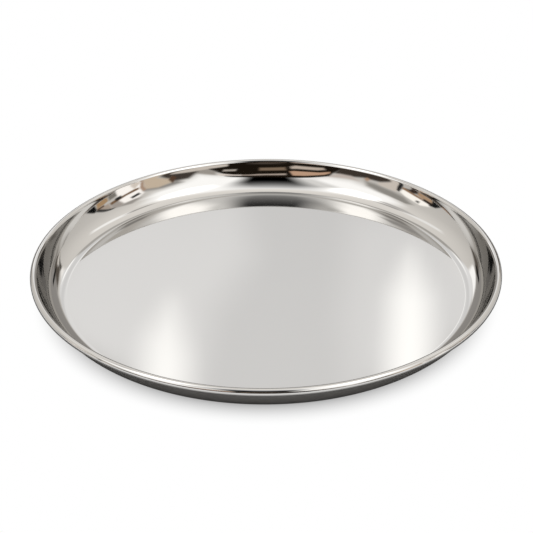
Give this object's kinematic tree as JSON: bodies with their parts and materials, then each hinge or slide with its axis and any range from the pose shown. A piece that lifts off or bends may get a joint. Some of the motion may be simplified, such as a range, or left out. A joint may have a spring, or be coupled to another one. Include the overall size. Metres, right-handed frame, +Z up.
{
  "type": "thali plate",
  "caption": "Round polished steel dinner plate with a flat base, a tight bend at its edge, a low curved wall and a rim rolled round a wire.",
  "frame": {"origin": "centre of the underside of the base, on the surface that the plate stands on", "axes": "+Z up along the plate's axis of revolution; X and Y lie in the base and are alike"},
  "size_m": [0.3, 0.3, 0.0211],
  "materials": {
    "polished_sheet": "mirror-polished stainless steel with faint polishing lines",
    "wire": "drawn steel wire, dull"
  },
  "bodies": {
    "root": {"pressed_plate": "polished_sheet", "rim_wire": "wire"}
  },
  "joints": []
}
